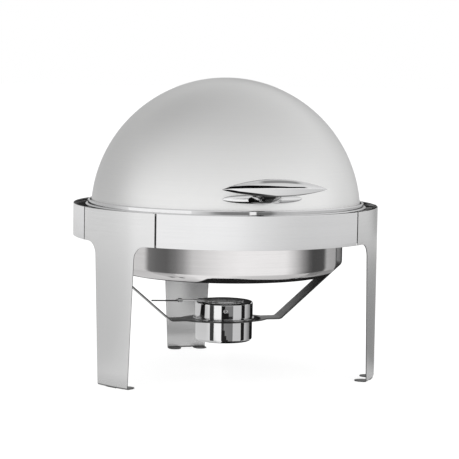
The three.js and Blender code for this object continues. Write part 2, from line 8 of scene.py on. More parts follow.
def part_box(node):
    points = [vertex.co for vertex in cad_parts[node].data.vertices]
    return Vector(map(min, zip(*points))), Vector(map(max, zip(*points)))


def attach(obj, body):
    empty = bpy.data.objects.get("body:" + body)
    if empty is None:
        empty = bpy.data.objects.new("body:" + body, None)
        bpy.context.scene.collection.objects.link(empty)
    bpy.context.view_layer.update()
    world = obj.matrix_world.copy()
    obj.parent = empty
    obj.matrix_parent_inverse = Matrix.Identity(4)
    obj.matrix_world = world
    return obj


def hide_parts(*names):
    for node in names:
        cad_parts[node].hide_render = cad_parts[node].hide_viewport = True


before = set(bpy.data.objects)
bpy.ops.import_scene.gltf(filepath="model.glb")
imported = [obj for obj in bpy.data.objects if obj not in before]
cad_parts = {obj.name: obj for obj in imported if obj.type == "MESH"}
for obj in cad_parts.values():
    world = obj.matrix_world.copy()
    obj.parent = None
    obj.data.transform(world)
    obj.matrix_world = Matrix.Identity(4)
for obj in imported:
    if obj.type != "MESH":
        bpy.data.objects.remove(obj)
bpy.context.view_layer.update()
scene = bpy.context.scene

# Every shape below is written in millimetres about the vertical axis of the dome.
MM = 0.001
dome_low, dome_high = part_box("cover_dome")
AXIS_Y = (dome_low.y + dome_high.y) / 2
PIVOT = 236.6      # height of the dome's centre, and of the axis that the cover rolls about
DOME_OUTER, DOME_INNER = 199.2, 197.7
SHARP = 38         # degrees between two faces from which the edge between them is a sharp one


def metres(point):
    return (point[0] * MM, point[1] * MM + AXIS_Y, point[2] * MM)


def turn(point, degrees):
    """A point made at the front, turned to an azimuth that is positive towards the right."""
    a = math.radians(degrees)
    x, y, z = point
    return (x * math.cos(a) - y * math.sin(a), x * math.sin(a) + y * math.cos(a), z)


# ---------------------------------------------------------------- materials

class Tree:
    """The node tree of a material or a world, with short calls for the nodes used here."""

    def __init__(self, owner):
        owner.use_nodes = True
        self.owner = owner
        self.nt = owner.node_tree
        self.bsdf = self.nt.nodes.get("Principled BSDF")

    def node(self, kind, **settings):
        n = self.nt.nodes.new(kind)
        for key, value in settings.items():
            setattr(n, key, value)
        return n

    def link(self, source, target):
        self.nt.links.new(source, target)

    def feed(self, node, values):
        """Gives the node's inputs their values, or links them to the outputs that they come from."""
        for socket, value in zip(node.inputs, values):
            if isinstance(value, (int, float)):
                socket.default_value = value
            else:
                self.link(value, socket)
        return node.outputs[0]

    def math(self, operation, a, b=0.0, clamp=False):
        return self.feed(self.node("ShaderNodeMath", operation=operation, use_clamp=clamp), (a, b))

    def vector(self, x, y, z):
        return self.feed(self.node("ShaderNodeCombineXYZ"), (x, y, z))

    def noise(self, vector, scale, detail=3.0, roughness=0.55, distortion=0.0):
        n = self.node("ShaderNodeTexNoise")
        n.inputs["Scale"].default_value = scale
        n.inputs["Detail"].default_value = detail
        n.inputs["Roughness"].default_value = roughness
        n.inputs["Distortion"].default_value = distortion
        self.link(vector, n.inputs["Vector"])
        return n.outputs["Fac"]

    def spread(self, value, low, high, out_low, out_high):
        n = self.node("ShaderNodeMapRange")
        n.interpolation_type = "SMOOTHSTEP"
        n.inputs["From Min"].default_value = low
        n.inputs["From Max"].default_value = high
        n.inputs["To Min"].default_value = out_low
        n.inputs["To Max"].default_value = out_high
        self.link(value, n.inputs["Value"])
        return n.outputs[0]

    def blend(self, factor, a, b):
        n = self.node("ShaderNodeMix", data_type="RGBA")
        self.link(factor, n.inputs["Factor"])
        for socket, value in ((n.inputs["A"], a), (n.inputs["B"], b)):
            if isinstance(value, tuple):
                socket.default_value = (*value, 1)
            else:
                self.link(value, socket)
        return n.outputs["Result"]

    def bump(self, height, strength, distance):
        n = self.node("ShaderNodeBump")
        n.inputs["Strength"].default_value = strength
        n.inputs["Distance"].default_value = distance
        self.link(height, n.inputs["Height"])
        self.link(n.outputs["Normal"], self.bsdf.inputs["Normal"])


def coordinates(tree):
    """Object coordinates about the vertical axis of the dome, and the distance from it."""
    place = tree.node("ShaderNodeMapping")
    place.inputs["Location"].default_value = (0, -AXIS_Y, 0)
    tree.link(tree.node("ShaderNodeTexCoord").outputs["Object"], place.inputs["Vector"])
    split = tree.node("ShaderNodeSeparateXYZ")
    tree.link(place.outputs[0], split.inputs[0])
    x, y, z = split.outputs
    radius = tree.math("SQRT", tree.math("ADD", tree.math("MULTIPLY", x, x), tree.math("MULTIPLY", y, y)))
    return x, y, z, radius


def metal(name, grey, rough, grain, across, along, lines, patches, tint, bump, darker_near_floor=False, with_painted_shade=False,
          metallic=1.0):
    """Stainless steel with brushing lines, faint patches of wear and hairline scratches.

    grain says how the lines run: rings round the axis on walls and floors of a vessel, crown on
    the dome, level on the stand's sheets, bar along X, or plain for no lines at all. across and along
    are how close the pattern is across the lines and along them. lines and patches are how much the
    roughness varies with each, and tint is how much the colour does. The floor option makes the metal
    darker and rougher in clouds up to 3 cm above the floor, and near black in the lowest 3 mm as painted
    shade where the foot tabs meet the floor. The painted shade option takes painted shade and painted
    reflections from the piece's own shade layer, from 0, black, to 1, bare metal."""
    colour = grey if isinstance(grey, tuple) else (grey, grey, grey)
    t = Tree(bpy.data.materials.new(name))
    x, y, z, radius = coordinates(t)
    far = {"rings": lambda: t.math("ADD", z, radius), "crown": lambda: t.math("SUBTRACT", z, radius),
           "level": lambda: z, "bar": lambda: y, "plain": lambda: z}[grain]()
    if grain == "bar":
        line_vector = t.vector(t.math("MULTIPLY", x, along), t.math("MULTIPLY", far, across),
                               t.math("MULTIPLY", z, along))
    else:
        line_vector = t.vector(t.math("MULTIPLY", x, along), t.math("MULTIPLY", y, along),
                               t.math("MULTIPLY", far, across if grain != "plain" else along))
    fine = t.noise(line_vector, 1.0, 6.0, 0.72)
    everywhere = t.vector(x, y, z)
    cloud = t.noise(everywhere, 9.0, 4.0, 0.6, 0.4)
    speck = t.noise(everywhere, 160.0, 3.0, 0.6)
    stretched = t.vector(t.math("MULTIPLY", x, 60), t.math("MULTIPLY", y, 14), t.math("MULTIPLY", z, 90))
    scratch = t.noise(stretched, 3.0, 2.0, 0.5, 1.2)
    hairline = t.spread(scratch, 0.63, 0.70, 0.0, 1.0)
    line = t.spread(fine, 0.25, 0.75, -1.0, 1.0)
    patch = t.spread(cloud, 0.35, 0.70, 0.0, 1.0)
    rough_value = t.math("ADD", t.math("MULTIPLY", line, lines), rough)
    rough_value = t.math("ADD", rough_value, t.math("MULTIPLY", patch, patches))
    rough_value = t.math("ADD", rough_value, t.math("MULTIPLY", hairline, patches * 1.2))
    shade = t.math("ADD", t.math("MULTIPLY", line, 0.35), t.math("MULTIPLY", patch, 0.4))
    shade = t.math("ADD", shade, t.math("MULTIPLY", speck, 0.3), clamp=True)
    darker = tuple(c * (1 - tint) for c in colour)
    lighter = tuple(min(1.0, c * (1 + tint * 0.6)) for c in colour)
    base = t.blend(shade, lighter, darker)
    if darker_near_floor:
        # Darker and rougher in clouds from 6 to 30 mm above the floor.
        low = t.math("ADD", z, t.math("MULTIPLY", cloud, 0.012))
        floor_band = t.spread(low, 0.006, 0.030, 1.0, 0.0)
        base = t.blend(t.math("MULTIPLY", floor_band, 0.45), base, tuple(c * 0.62 for c in colour))
        rough_value = t.math("ADD", rough_value, t.math("MULTIPLY", floor_band, 0.10))
        # Painted shade: near black in the lowest 3 mm, where the foot tabs meet the floor.
        base = t.blend(t.spread(z, 0.0014, 0.0030, 1.0, 0.0), base, tuple(c * 0.16 for c in colour))
    if with_painted_shade:
        # Painted shade and painted reflections: the piece's shade layer darkens the colour, 0 black to 1 bare
        # metal.
        base = t.blend(t.node("ShaderNodeAttribute", attribute_name="shade").outputs["Fac"],
                       (0.004, 0.004, 0.004), base)
    t.link(base, t.bsdf.inputs["Base Color"])
    t.link(rough_value, t.bsdf.inputs["Roughness"])
    t.bsdf.inputs["Metallic"].default_value = metallic
    t.bump(t.math("ADD", t.math("MULTIPLY", line, 0.5), t.math("MULTIPLY", speck, 0.25)), bump, 0.0004)
    return t.owner


def rubber_material():
    t = Tree(bpy.data.materials.new("rubber_black"))
    x, y, z, _ = coordinates(t)
    everywhere = t.vector(x, y, z)
    grain = t.noise(everywhere, 700.0, 4.0, 0.6)
    dust = t.noise(everywhere, 45.0, 3.0, 0.6)
    t.link(t.blend(t.spread(dust, 0.4, 0.75, 0.0, 1.0), (0.012, 0.012, 0.013), (0.045, 0.044, 0.042)),
           t.bsdf.inputs["Base Color"])
    t.link(t.spread(grain, 0.2, 0.8, 0.62, 0.86), t.bsdf.inputs["Roughness"])
    t.bump(grain, 0.25, 0.0003)
    return t.owner


SATIN = metal("satin_dome", (0.87, 0.87, 0.865), 0.34, "crown", 1500.0, 10.0, 0.03, 0.02, 0.025, 0.012)
SHEET = metal("satin_sheet", 0.82, 0.18, "level", 1100.0, 8.0, 0.03, 0.025, 0.025, 0.01, darker_near_floor=True)
POLISHED = metal("polished_sheet", (0.86, 0.86, 0.865), 0.10, "level", 300.0, 5.0, 0.02, 0.035, 0.03, 0.008)
RING = metal("polished_ring", (0.86, 0.86, 0.865), 0.07, "rings", 520.0, 5.0, 0.03, 0.03, 0.04, 0.01)
PAN = metal("polished_pan", (0.80, 0.785, 0.785), 0.13, "rings", 380.0, 6.0, 0.035, 0.04, 0.05, 0.012)
PAN_INSIDE = metal("satin_pan", (0.80, 0.80, 0.795), 0.24, "rings", 420.0, 6.0, 0.05, 0.05, 0.05, 0.02)
CHROME = metal("bright_chrome", (0.90, 0.90, 0.905), 0.045, "rings", 300.0, 5.0, 0.012, 0.04, 0.02, 0.004)
HANDLE = metal("handle_chrome", (0.90, 0.90, 0.905), 0.07, "bar", 300.0, 5.0, 0.012, 0.04, 0.02, 0.004,
               with_painted_shade=True)
BAR = metal("brushed_bar", 0.34, 0.30, "bar", 900.0, 12.0, 0.09, 0.05, 0.12, 0.03)
LID = metal("brushed_lid", 0.78, 0.26, "bar", 900.0, 14.0, 0.08, 0.06, 0.10, 0.03)
PEENED = metal("peened_rivet", 0.86, 0.28, "plain", 1.0, 60.0, 0.05, 0.06, 0.12, 0.03, metallic=0.65)
DULL = metal("mill_steel", 0.52, 0.40, "level", 500.0, 20.0, 0.08, 0.10, 0.14, 0.03)
# Near black, darker than bare steel: the sheets' cut edges, painted as dark lines of shade.
CUT_EDGE_AND_SHADE = metal("cut_edge_and_shade", 0.10, 0.45, "level", 900.0, 60.0, 0.08, 0.10, 0.30, 0.03)
# The hoop is near black: seen through the seams between the band's sheets, it paints shade into the gaps.
HOOP_PAINTED_SHADE = metal("hoop_painted_shade", 0.10, 0.50, "level", 500.0, 20.0, 0.08, 0.10, 0.20, 0.03)
RUBBER = rubber_material()


# ---------------------------------------------------------------- mesh helpers

def rounded(points, closed=True, steps=4):
    """A line of (a, b, radius) corners with each corner rounded off."""
    out = []
    count = len(points)
    for i, (a, b, radius) in enumerate(points):
        here = Vector((a, b))
        if radius <= 0 or (not closed and i in (0, count - 1)):
            out.append((a, b))
            continue
        back = Vector(points[i - 1][:2]) - here
        ahead = Vector(points[(i + 1) % count][:2]) - here
        reach = min(back.length, ahead.length) * 0.49
        back.normalize()
        ahead.normalize()
        angle = back.angle(ahead)
        d = min(radius / math.tan(angle / 2), reach)
        r = d * math.tan(angle / 2)
        centre = here + (back + ahead).normalized() * (r / math.sin(angle / 2))
        first, last = here + back * d - centre, here + ahead * d - centre
        total = first.angle(last)
        for k in range(steps + 1):
            s = k / steps
            p = centre + (first * math.sin((1 - s) * total) + last * math.sin(s * total)) / math.sin(total)
            out.append((p.x, p.y))
    return out


def eased_edges(obj, width):
    """A small bevel along an object's sharp edges."""
    m = obj.modifiers.new("edges", "BEVEL")
    m.width = width * MM
    m.segments = 2
    m.limit_method = "ANGLE"
    m.angle_limit = math.radians(SHARP)
    return m


def piece(name, points, faces, body, material, node, facing=None, thick=0.0, bevel=0.0,
          sharp=SHARP, painted_shade_values=()):
    """A mesh piece that stands for a CAD node, from points in millimetres about the axis.

    facing is the way that the first face of an open sheet looks; a closed body needs none. The
    second of two materials is for the cut edges of a sheet."""
    mesh = bpy.data.meshes.new(name)
    mesh.from_pydata([metres(p) for p in points], [], faces)
    for m in material if isinstance(material, tuple) else (material,):
        mesh.materials.append(m)
    # Painted shade and painted reflections, one value per point, go into the mesh's shade layer.
    if painted_shade_values:
        mesh.attributes.new("shade", "FLOAT", "POINT").data.foreach_set("value", painted_shade_values)
    bm = bmesh.new()
    bm.from_mesh(mesh)
    bmesh.ops.recalc_face_normals(bm, faces=bm.faces)
    bm.faces.ensure_lookup_table()
    if facing is not None and bm.faces[0].normal.dot(Vector(facing)) < 0:
        bmesh.ops.reverse_faces(bm, faces=bm.faces)
    bm.to_mesh(mesh)
    bm.free()
    mesh.polygons.foreach_set("use_smooth", [True] * len(mesh.polygons))
    if not thick and not bevel:
        mesh.set_sharp_from_angle(angle=math.radians(sharp))
    obj = bpy.data.objects.new(name, mesh)
    scene.collection.objects.link(obj)
    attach(obj, body)
    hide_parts(node)
    if thick:
        m = obj.modifiers.new("thickness", "SOLIDIFY")
        m.thickness = thick * MM
        m.offset = -1
        m.use_even_offset = True
        m.material_offset_rim = 1 if isinstance(material, tuple) else 0
    if bevel:
        eased_edges(obj, bevel).use_clamp_overlap = False
    obj.modifiers.new("shading", "WEIGHTED_NORMAL").keep_sharp = True
    return obj


def lathe(name, profile, body, material, node, segments=160, centre=(0, 0, 0), axis=(0, 0, 1)):
    """A profile of (radius, height) turned round an axis. It is a closed loop unless both of its
    ends lie on the axis."""
    axis = Vector(axis).normalized()
    side = Vector((1, 0, 0)) if abs(axis.x) < 0.9 else Vector((0, 1, 0))
    across = axis.cross(side).normalized()
    side = across.cross(axis)
    centre = Vector(centre)
    open_ended = profile[0][0] < 1e-6 and profile[-1][0] < 1e-6
    points, rows = [], []
    for radius, height in profile:
        if radius < 1e-6:
            rows.append([len(points)] * segments)
            points.append(tuple(centre + axis * height))
            continue
        rows.append(list(range(len(points), len(points) + segments)))
        for k in range(segments):
            a = 2 * math.pi * k / segments
            outward = side * math.cos(a) + across * math.sin(a)
            points.append(tuple(centre + axis * height + outward * radius))
    faces = []
    pairs = list(zip(rows, rows[1:])) + ([] if open_ended else [(rows[-1], rows[0])])
    for lower, upper in pairs:
        for k in range(segments):
            m = (k + 1) % segments
            face = [lower[k], lower[m], upper[m], upper[k]]
            faces.append([v for i, v in enumerate(face) if v != face[i - 1]])
    return piece(name, points, faces, body, material, node)


def plate(name, outline, low, high, body, material, node, azimuth, bevel=0.3):
    """A flat piece from an outline in plan, turned to an azimuth."""
    count = len(outline)
    points = [turn((x, y, z), azimuth) for z in (low, high) for x, y in outline]
    faces = [list(range(count))[::-1], list(range(count, 2 * count))]
    faces += [[i, (i + 1) % count, count + (i + 1) % count, count + i] for i in range(count)]
    return piece(name, points, faces, body, material, node, bevel=bevel)


def arc(centre, radius, start, end, steps):
    """Points on an arc from one angle to another, in degrees."""
    return [(centre[0] + radius * math.cos(math.radians(start + (end - start) * i / steps)),
             centre[1] + radius * math.sin(math.radians(start + (end - start) * i / steps)))
            for i in range(steps + 1)]


# ---------------------------------------------------------------- stand

BAND = 224.95
BAND_LOW, BAND_HIGH = 202.6, 250.0
LIP = 0.7          # radius of the band's upper edge, which is rolled inwards
END_LIP = 0.3      # and of the edges at the seams
THICK = 1.4
EDGE = 0.32        # how far the sheets' edges are eased
LEG_SPAN = 18.8    # half of the angle of band that belongs to a leg, in degrees
SEAM = 2.9         # gap between a leg's part of the band and a panel


def wall(x, z, inset=0.0):
    """A point of the stand's cylinder at the front, at a given place across it."""
    radius = BAND - inset
    return (x, -math.sqrt(max(radius * radius - x * x, 0.0)), z)


def rolled(end, lip=LIP, steps=4):
    """Places and insets of an edge that rolls inwards as it reaches its end."""
    turns = [math.radians(90 * k / steps) for k in range(1, steps + 1)]
    return [(end - lip * (1 - math.sin(a)), lip * (1 - math.cos(a))) for a in turns]


def band_rows():
    flat = [BAND_LOW + (BAND_HIGH - LIP - BAND_LOW) * k / 5 for k in range(6)]
    return [(z, 0.0) for z in flat] + rolled(BAND_HIGH)


def leg(name, node, azimuth):
    half_top, half_foot, fillet, reach = 39.8, 31.0, 19.0, 22.0
    band_half = BAND * math.sin(math.radians(LEG_SPAN))
    bend = 2.6
    share = [-1 + 0.66 * k / 6 for k in range(6)] + [-0.34 + 0.68 * k / 8 for k in range(9)]
    share += [0.34 + 0.66 * k / 6 for k in range(1, 7)]
    straight_top = BAND_LOW - fillet
    rows = []
    for k in range(15):
        z = bend + (straight_top - bend) * k / 14
        rows.append((z, half_foot + (half_top - half_foot) * z / straight_top, 0.0))
    for k in range(1, 8):
        a = math.radians(90 * k / 7)
        rows.append((straight_top + fillet * math.sin(a), half_top + fillet * (1 - math.cos(a)), 0.0))
    joint_row = len(rows) - 1
    shoulder = half_top + fillet
    rows += [(z, shoulder, inset) for z, inset in band_rows()[1:]]
    points, faces = [], []

    def add(p):
        points.append(p)
        return len(points) - 1

    grid = [[add(wall(half * s, z, inset)) for s in share] for z, half, inset in rows]
    for lower, upper in zip(grid, grid[1:]):
        faces += [[lower[i], lower[i + 1], upper[i + 1], upper[i]] for i in range(len(share) - 1)]
    # The band's two shoulders, each ending in a rolled edge at the seam.
    plain = [shoulder + (band_half - END_LIP - shoulder) * k / 4 for k in range(1, 5)]
    ends = [(x, 0.0) for x in plain] + rolled(band_half, END_LIP)
    for sign in (-1, 1):
        columns = [[row[0] if sign < 0 else row[-1] for row in grid[joint_row:]]]
        for x, side_inset in ends:
            columns.append([add(wall(sign * x, z, inset + side_inset)) for z, _, inset in rows[joint_row:]])
        for a, b in zip(columns, columns[1:]):
            for j in range(len(a) - 1):
                face = [a[j], b[j], b[j + 1], a[j + 1]]
                faces.append(face if sign > 0 else face[::-1])
    # Below the fold: a plain web in the middle, and a tab bent inwards on each side.
    start = grid[0]
    web = range(6, 15)
    cut = {6: 0.35, 14: -0.35}    # the slits between the web and the tabs
    last = [start[i] for i in web]
    for z in (1.3, 0.0):
        row = [add(wall(share[i] * half_foot + cut.get(i, 0), z)) for i in web]
        faces += [[row[k], row[k + 1], last[k + 1], last[k]] for k in range(len(row) - 1)]
        last = row
    centre_x = half_foot - 10
    for columns in (range(0, 7), range(14, 21)):
        last = [start[i] for i in columns]
        xs = [share[i] * half_foot for i in columns]
        middle = -centre_x if columns[0] == 0 else centre_x
        for k in range(1, 6):
            a = math.radians(90 * k / 5)
            row = [add(wall(x, bend * (1 - math.sin(a)), bend * (1 - math.cos(a)))) for x in xs]
            faces += [[row[i], row[i + 1], last[i + 1], last[i]] for i in range(len(row) - 1)]
            last = row
        for k in range(1, 9):
            s = math.sin(math.radians(90 * k / 8))
            row = []
            for x in xs:
                x_in = middle + (x - middle) * 0.985
                begin = wall(x, 0, bend)[1]
                end = -(BAND - reach + 10) + math.sqrt(max(100 - (x_in - middle) ** 2, 0.0))
                row.append(add((x, begin + (end - begin) * s, 0.0)))
            faces += [[row[i], row[i + 1], last[i + 1], last[i]] for i in range(len(row) - 1)]
            last = row
    points = [turn(p, azimuth) for p in points]
    facing = turn((0, -1, 0), azimuth)
    return piece(name, points, faces, "stand", (SHEET, CUT_EDGE_AND_SHADE), node, facing, THICK, EDGE)


def panel(name, node, azimuth):
    half_length = math.radians(60 - LEG_SPAN) * BAND - SEAM
    plain = [-half_length + END_LIP + 2 * (half_length - END_LIP) * k / 72 for k in range(73)]
    right = rolled(half_length, END_LIP)
    columns = [(-s, inset) for s, inset in reversed(right)] + [(s, 0.0) for s in plain] + right
    rows = band_rows()
    points = []
    for z, inset in rows:
        for s, side_inset in columns:
            a, radius = s / BAND, BAND - inset - side_inset
            points.append(turn((radius * math.sin(a), -radius * math.cos(a), z), azimuth))
    n = len(columns)
    faces = [[j * n + i, j * n + i + 1, (j + 1) * n + i + 1, (j + 1) * n + i]
             for j in range(len(rows) - 1) for i in range(n - 1)]
    first = turn((math.sin(-half_length / BAND), -math.cos(-half_length / BAND), 0), azimuth)
    side = turn((-1, 0, 0), azimuth)
    facing = (first[0] + side[0], first[1] + side[1], 0)
    return piece(name, points, faces, "stand", (POLISHED, CUT_EDGE_AND_SHADE), node, facing,
                 THICK, EDGE)


# The band and its legs.
for word, azimuth in (("front_left", -60), ("front_right", 60), ("rear", 180)):
    leg("leg_sheet_" + word, "leg_" + word, azimuth)
for word, azimuth in (("front", 0), ("left", -120), ("right", 120)):
    panel("band_sheet_" + word, "band_panel_" + word, azimuth)

# The hoop inside the band, whose near black is painted shade in the seams.
lathe("hoop_inside_band", rounded([
    (221.4, 205.5, 0.4), (222.9, 205.5, 0.4), (222.9, 246, 0.4), (221.4, 246, 0.4)]),
    "stand", HOOP_PAINTED_SHADE, "frame_hoop", 192)

lathe("cover_ring_bead", rounded([
    (200.6, 246.5, 0.3), (207.3, 246.5, 0.5), (207.3, 249.1, 1.0), (204.1, 249.5, 0.5),
    (203.8, 255.4, 1.55), (200.6, 255.4, 1.2)], steps=6),
    "stand", RING, "cover_ring", 240)

lathe("carrier_ring", rounded([
    (168.5, 219.5, 0.4), (180, 219.5, 0.3), (180, 200, 0.5), (181.5, 200, 0.5), (181.5, 221, 1.4),
    (168.5, 221, 0.4)]), "stand", DULL, "pan_carrier", 192)


# ---------------------------------------------------------------- cover

def dome():
    outer, inner = DOME_OUTER, DOME_INNER
    middle, half = (outer + inner) / 2, (outer - inner) / 2
    notch = 8.4
    near = [math.degrees(math.asin(notch * math.cos(math.radians(180 * k / 14)) / outer)) for k in range(15)]
    azimuths = []
    for side in (90, 270):
        azimuths += [side - d for d in near]
        azimuths += [side + 3.6 + (172.8 * k / 88) for k in range(89)]
    azimuths = sorted(a % 360 for a in azimuths)
    columns = len(azimuths)

    def rim(azimuth):
        y = outer * math.cos(math.radians(azimuth))
        lowest = 1.4 + half
        if abs(y) < notch:
            lowest = max(lowest, math.sqrt(8.5 ** 2 - y * y) + half)
        return math.degrees(math.asin(lowest / outer))

    points, rows = [], []

    def ring(radius_at, lift, share):
        row = []
        for azimuth in azimuths:
            low = rim(azimuth)
            e = math.radians(low + (90 - low) * share + lift)
            a = math.radians(azimuth)
            row.append(len(points))
            points.append((radius_at * math.cos(e) * math.sin(a), -radius_at * math.cos(e) * math.cos(a),
                           PIVOT + radius_at * math.sin(e)))
        rows.append(row)

    shares = [0.0, 0.012, 0.03] + [0.05 + 0.95 * k / 60 for k in range(60)]
    top_out = len(points)
    points.append((0, 0, PIVOT + outer))
    for share in reversed(shares):
        ring(outer, 0.0, share)
    for k in range(1, 6):
        a = math.radians(180 * k / 6)
        ring(middle + half * math.cos(a), -math.degrees(half * math.sin(a) / middle), 0.0)
    for share in shares:
        ring(inner, 0.0, share)
    top_in = len(points)
    points.append((0, 0, PIVOT + inner))
    faces = []
    for a, b in zip(rows, rows[1:]):
        faces += [[a[i], a[(i + 1) % columns], b[(i + 1) % columns], b[i]] for i in range(columns)]
    faces += [[top_out, rows[0][(i + 1) % columns], rows[0][i]] for i in range(columns)]
    faces += [[top_in, rows[-1][i], rows[-1][(i + 1) % columns]] for i in range(columns)]
    return piece("cover_shell", points, faces, "cover", SATIN, "cover_dome")


dome()

# Handle: a spindle-shaped grip with a groove along its front, a leaf-shaped base and a neck. The groove's
# black, the dark underside of the grip and the dark neck are painted shade and painted reflections.
GRIP_Y, GRIP_Z = -247.0, 288.2
GRIP_HALF, GRIP_DEPTH, GRIP_RISE, GRIP_DROP = 74.4, 9.4, 14.3, 9.6
BASE_Z, BASE_HALF = 270.8, 57.3


def spindle(t):
    return max(math.cos(t * math.pi / 2), 0.0) ** 0.8


def along(t, stops):
    """A value read off a line of (t, value) stops."""
    for (t0, v0), (t1, v1) in zip(stops, stops[1:]):
        if t <= t1:
            return v0 + (v1 - v0) * (max(t, t0) - t0) / (t1 - t0)
    return stops[-1][1]


def grip_section(t):
    """The grip's outline at a place along it, as (depth, height, shade) in shares of its size. The shade is
    painted: black in the groove, dark under the grip and a grey crescent above the groove, all painted shade
    and reflections.
    """
    low = along(t, [(-1, 0.36), (-0.85, 0.31), (-0.7, 0.23), (-0.36, 0.175), (0.27, 0.17), (0.56, 0.21),
                    (1, 0.21)])
    tall = along(t, [(-1, 0.40), (-0.85, 0.60), (-0.7, 0.44), (-0.36, 0.30), (0, 0.19), (0.27, 0.14),
                     (0.54, 0.15), (0.60, 0.05), (1, 0.05)])
    high = low + tall
    deep = along(t, [(-1, 0.10), (-0.85, 0.34), (0.5, 0.30), (0.62, 0.02), (1, 0.02)])
    # Painted shade: black darkens the groove, under the underside, cloud is a painted grey reflection above
    # the groove, and crown greys the top on the left.
    black = along(t, [(-1, 0.6), (-0.92, 0.0), (0.54, 0.0), (0.62, 1.0), (1, 1.0)])
    under = along(t, [(-1, 0.0), (-0.25, 0.0), (0.0, 0.25), (0.3, 0.45), (1, 0.45)])
    keel = along(t, [(-1, 0.08), (-0.9, 0.04), (-0.7, -0.40), (-0.34, -0.60), (0.0, -0.84), (1, -0.86)])
    cloud = along(t, [(-1, 1.0), (-0.34, 1.0), (-0.22, 0.42), (0.38, 0.42), (0.52, 1.0), (1, 1.0)])
    cloud_low = max(high + 0.08, 0.62)
    crown = along(t, [(-1, 0.5), (-0.2, 0.6), (0.0, 1.0), (1, 1.0)])

    def front(z):
        return -1.0 + 0.42 * max((z - 0.1) / 0.6, 0.0) ** 1.6

    def brow(z):
        return front(0.60) + 0.42 * (z - 0.60) / 0.26

    return [(0.62, -0.62, 0.6), (0.30, -0.92, under), (0.02, -1.0, under),
            (-0.42, (keel - 1.0) / 2 - 0.12, under), (-0.84, keel, under), (-0.86, keel + 0.06, 1.0),
            (-0.96, keel * 0.45 + 0.05, 1.0), (-1.0, low - 0.12, 1.0), (-0.985, low, 1.0),
            (-0.97, low + 0.004, black), (-0.97 + deep, low + 0.02, black),
            (-0.96 + deep, high - 0.02, black), (front(high) + 0.03, high - 0.004, black),
            (front(high) + 0.01, high, 1.0), (front(high + 0.03), high + 0.03, 1.0),
            (front(cloud_low), cloud_low, 1.0), (brow(cloud_low + 0.04), cloud_low + 0.04, cloud),
            (brow(0.84), max(0.85, cloud_low + 0.05), cloud), (brow(0.88), 0.91, 1.0),
            (-0.16, 0.97, crown), (0.05, 1.0, crown), (0.40, 0.88, 1.0), (0.70, 0.66, 1.0),
            (0.92, 0.30, 1.0), (1.0, 0.0, 0.8), (0.90, -0.34, 0.7)]


def grip():
    stations = 72
    points, faces, painted_shade_values = [], [], []
    for i in range(stations + 1):
        t = math.sin((-1 + 2 * i / stations) * math.pi / 2) * 0.996
        size = max(spindle(t), 0.03 if abs(t) > 0.97 else 0.0)
        section = grip_section(t)
        count = len(section)
        for y, z, shade in section:
            rise = GRIP_RISE if z > 0 else GRIP_DROP
            points.append((GRIP_HALF * t, GRIP_Y + GRIP_DEPTH * y * size, GRIP_Z + rise * z * size))
            painted_shade_values.append(shade)
    for i in range(stations):
        a = i * count
        for k in range(count):
            m = (k + 1) % count
            faces.append([a + k, a + m, a + count + m, a + count + k])
    for end, base in ((-1, 0), (1, stations * count)):
        tip = len(points)
        points.append((end * GRIP_HALF, GRIP_Y, GRIP_Z))
        painted_shade_values.append(1.0)
        for k in range(count):
            faces.append([tip, base + k, base + (k + 1) % count])
    return piece("grip_spindle", points, faces, "cover", HANDLE, "handle_grip", sharp=42,
                 painted_shade_values=painted_shade_values)


def dome_point(x, z, height):
    """A point this far outside the dome's surface, below or above the handle's base line."""
    y = -math.sqrt(DOME_OUTER ** 2 - x * x - (z - PIVOT) ** 2)
    k = (DOME_OUTER + height) / DOME_OUTER
    return (x * k, y * k, PIVOT + (z - PIVOT) * k)


def in_painted_highlight(x, z):
    """Where a painted highlight, a thin bright streak, runs down across the painted dark of the neck's foot.
    """
    return abs(x + 18.4 - (274.8 - z) * 1.44) < 1.7 and 269 < z < 276


